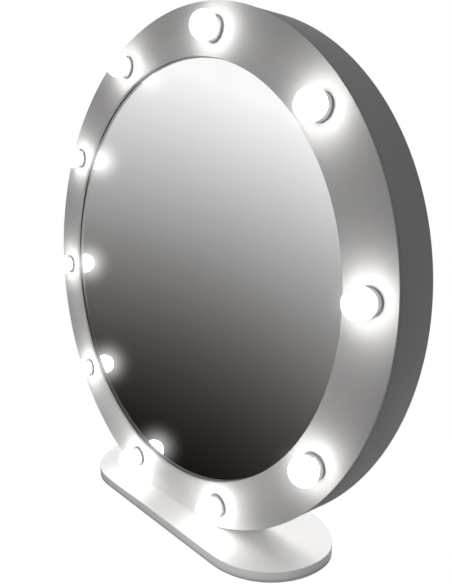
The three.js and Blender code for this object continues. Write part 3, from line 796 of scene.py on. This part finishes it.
def floor():
    """A wide pale floor that shows white, with only a faint shadow, and stays out of the mirror."""
    half = 4.0
    mesh = bpy.data.meshes.new("floor")
    corners = [(-half, -half, 0), (half, -half, 0), (half, half, 0), (-half, half, 0)]
    mesh.from_pydata(corners, [], [(0, 1, 2, 3)])
    sheet = bpy.data.objects.new("floor", mesh)
    bpy.context.scene.collection.objects.link(sheet)
    sheet.location.z = -FLOOR_GAP
    sheet.visible_glossy = False

    def shade(nodes):
        seen = nodes.add("ShaderNodeLightPath").outputs["Is Camera Ray"]
        tone = nodes.blend(seen, rgba(0.3, 0.3, 0.3), rgba(0.8, 0.8, 0.8))
        pale = nodes.add("ShaderNodeBsdfDiffuse", {"Color": tone}).outputs[0]
        lift = nodes.add("ShaderNodeEmission", {"Color": rgba(1, 1, 1)})
        nodes.feed(lift.inputs["Strength"], nodes.maths("MULTIPLY", seen, FLOOR_LIFT))
        return nodes.add("ShaderNodeAddShader", {0: pale, 1: lift.outputs[0]}).outputs[0]

    mesh.materials.append(material("floor", shade))
    sheet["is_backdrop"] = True


def surroundings():
    """White to the camera; soft grey light on the object, strongest from the front; and for the mirror a
    room that is warm and dark on one side, brightens along ROOM_AXIS, and falls off again beyond it."""
    world = bpy.data.worlds.new("studio")
    bpy.context.scene.world = world
    world.use_nodes = True
    nodes = Nodes(world.node_tree)
    path = nodes.add("ShaderNodeLightPath")
    reverse = {0: nodes.add("ShaderNodeNewGeometry").outputs["Incoming"], 1: (-1, -1, -1)}
    outward = nodes.add("ShaderNodeVectorMath", reverse, operation="MULTIPLY").outputs[0]
    split = nodes.add("ShaderNodeSeparateXYZ", {0: outward})

    front = nodes.maths("MAXIMUM", nodes.maths("MULTIPLY", split.outputs["Y"], -1), 0)
    above = nodes.maths("MAXIMUM", split.outputs["Z"], 0)
    level = nodes.maths("ADD", nodes.maths("MULTIPLY", front, FRONT_LIGHT), AMBIENT_LIGHT)
    level = nodes.maths("ADD", level, nodes.maths("MULTIPLY", above, TOP_LIGHT))

    axis = Vector(ROOM_AXIS).normalized()
    along = nodes.add("ShaderNodeVectorMath", {0: outward, 1: axis}, operation="DOT_PRODUCT").outputs["Value"]
    rise = nodes.maths("POWER", nodes.spread(along, 0, 1, ROOM_DARK, ROOM_BRIGHT), ROOM_CURVE)
    fall = nodes.spread(along, 1, ROOM_FALL_REST, ROOM_FALL_START, ROOM_FALL_END)
    shine = nodes.maths("ADD", nodes.maths("MULTIPLY", rise, fall), ROOM_LEAST)
    tint = nodes.blend(nodes.spread(rise, 0, 1, 0, ROOM_WARM_END), rgba(1, 0.86, 0.75), rgba(1, 1, 1))

    def background(colour, strength):
        return nodes.add("ShaderNodeBackground", {"Color": colour, "Strength": strength}).outputs[0]

    def choose(share, a, b):
        return nodes.add("ShaderNodeMixShader", {0: share, 1: a, 2: b}).outputs[0]

    soft = background(rgba(1, 0.99, 0.985), level)
    room = background(tint, shine)
    white = background(rgba(1, 1, 1), 1.0)
    unseen = choose(path.outputs["Is Diffuse Ray"], room, soft)
    nodes.add("ShaderNodeOutputWorld", {"Surface": choose(path.outputs["Is Camera Ray"], unseen, white)})


def glow():
    """The camera's soft glow, close around the lit globes and their reflections."""
    scene = bpy.context.scene
    scene.use_nodes = True
    nodes = Nodes(scene.node_tree)
    picture = nodes.add("CompositorNodeRLayers").outputs["Image"]
    limits = {"Image": picture, "Threshold": GLOW_START, "Maximum": GLOW_LIMIT}
    bright = nodes.add("CompositorNodeGlare", limits)
    bright.inputs["Clamp"].default_value = True
    halo = nodes.add("CompositorNodeBlur", {"Image": bright.outputs["Highlights"]}, filter_type="GAUSS")
    halo.size_x = halo.size_y = GLOW_REACH
    parts = {0: GLOW_STRENGTH, 1: picture, 2: halo.outputs[0]}
    both = nodes.add("CompositorNodeMixRGB", parts, blend_type="ADD")
    nodes.add("CompositorNodeComposite", {"Image": both.outputs["Image"]})


def soft_light(name, place, target, size, power, lit):
    """A square soft light that falls only on the pieces whose names start with one of lit."""
    lamp = bpy.data.lights.new(name, "AREA")
    lamp.shape = "SQUARE"
    lamp.size = size
    lamp.energy = power
    thing = bpy.data.objects.new(name, lamp)
    bpy.context.scene.collection.objects.link(thing)
    thing.location = place
    thing.rotation_euler = (Vector(target) - thing.location).to_track_quat("-Z", "Y").to_euler()
    thing.visible_glossy = False
    thing.visible_camera = False
    receivers = bpy.data.collections.new("lit_by_" + name)
    for piece_made in bpy.data.objects:
        if piece_made.name.startswith(lit):
            receivers.objects.link(piece_made)
    thing.light_linking.receiver_collection = receivers


FLOOR_LIFT = 0.86
FLOOR_GAP = 0.5 * MM
GLOW_START, GLOW_LIMIT, GLOW_STRENGTH, GLOW_REACH = 1.5, 20.0, 0.12, 24
AMBIENT_LIGHT = 0.055
FRONT_LIGHT = 0.27
TOP_LIGHT = 0.05
BASE_LIGHT = 30.0
BASE_FRONT_LIGHT = 4.0
BASE_LEFT_LIGHT = 3.0
LOW_LIGHT = 0.42
BACK_LIGHT = 20.0
BACK_PIECES = ("rear_panel", "panel_screw", "switch", "power_inlet", "terminal_box", "supply_lead")
ROOM_AXIS = (0.617, 0.112, 0.779)
ROOM_DARK, ROOM_BRIGHT, ROOM_CURVE = -0.88, -0.32, 1.85
ROOM_FALL_START, ROOM_FALL_END, ROOM_FALL_REST = 0.1, 0.6, 0.12
ROOM_WARM_END = 0.3
ROOM_LEAST = 0.006

base_plate()
front_ring()
side_band()
rear_panel()
mirror_gasket()
for lamp_number in range(1, LAMP_COUNT + 1):
    lamp_collar(lamp_number)
    bulb(lamp_number)
for screw_number in range(1, PANEL_SCREW_COUNT + 1):
    panel_screw(screw_number)
finish_kept_nodes()

floor()
surroundings()
soft_light("base_top_light", (0.5, 0.5, 1.6), (0.1, 0, 0), 1.6, BASE_LIGHT, ("base_plate",))
soft_light("base_front_light", (0.4, -1.0, 0.5), (0.1, -0.1, 0), 0.5, BASE_FRONT_LIGHT, ("base_plate",))
soft_light("base_left_light", (-0.65, 0.15, 0.45), (-0.38, 0, 0), 0.3, BASE_LEFT_LIGHT, ("base_plate",))
soft_light("low_light", (-0.2, -0.5, 0.18), (-0.2, 0, 0.15), 0.2, LOW_LIGHT, ("front_ring", "lamp_collar"))
soft_light("back_light", (0.6, 1.6, 1.2), (0, 0, 0.4), 1.0, BACK_LIGHT, BACK_PIECES)
CAMERA_PLACE = Vector((0.7402, -0.6092, 0.5498))
CAMERA_YAW, CAMERA_PITCH, CAMERA_ROLL = 47.9, -7.775, -0.202  # degrees
CAMERA_LENS = 30.82
look(CAMERA_PLACE, CAMERA_YAW, CAMERA_PITCH, CAMERA_ROLL, CAMERA_LENS)
bpy.context.scene.view_settings.view_transform = "Standard"
glow()

boxes = {"cad": CAD_BOX, "visual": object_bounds()}
{name: [list(corner) for corner in box] for name, box in boxes.items()}
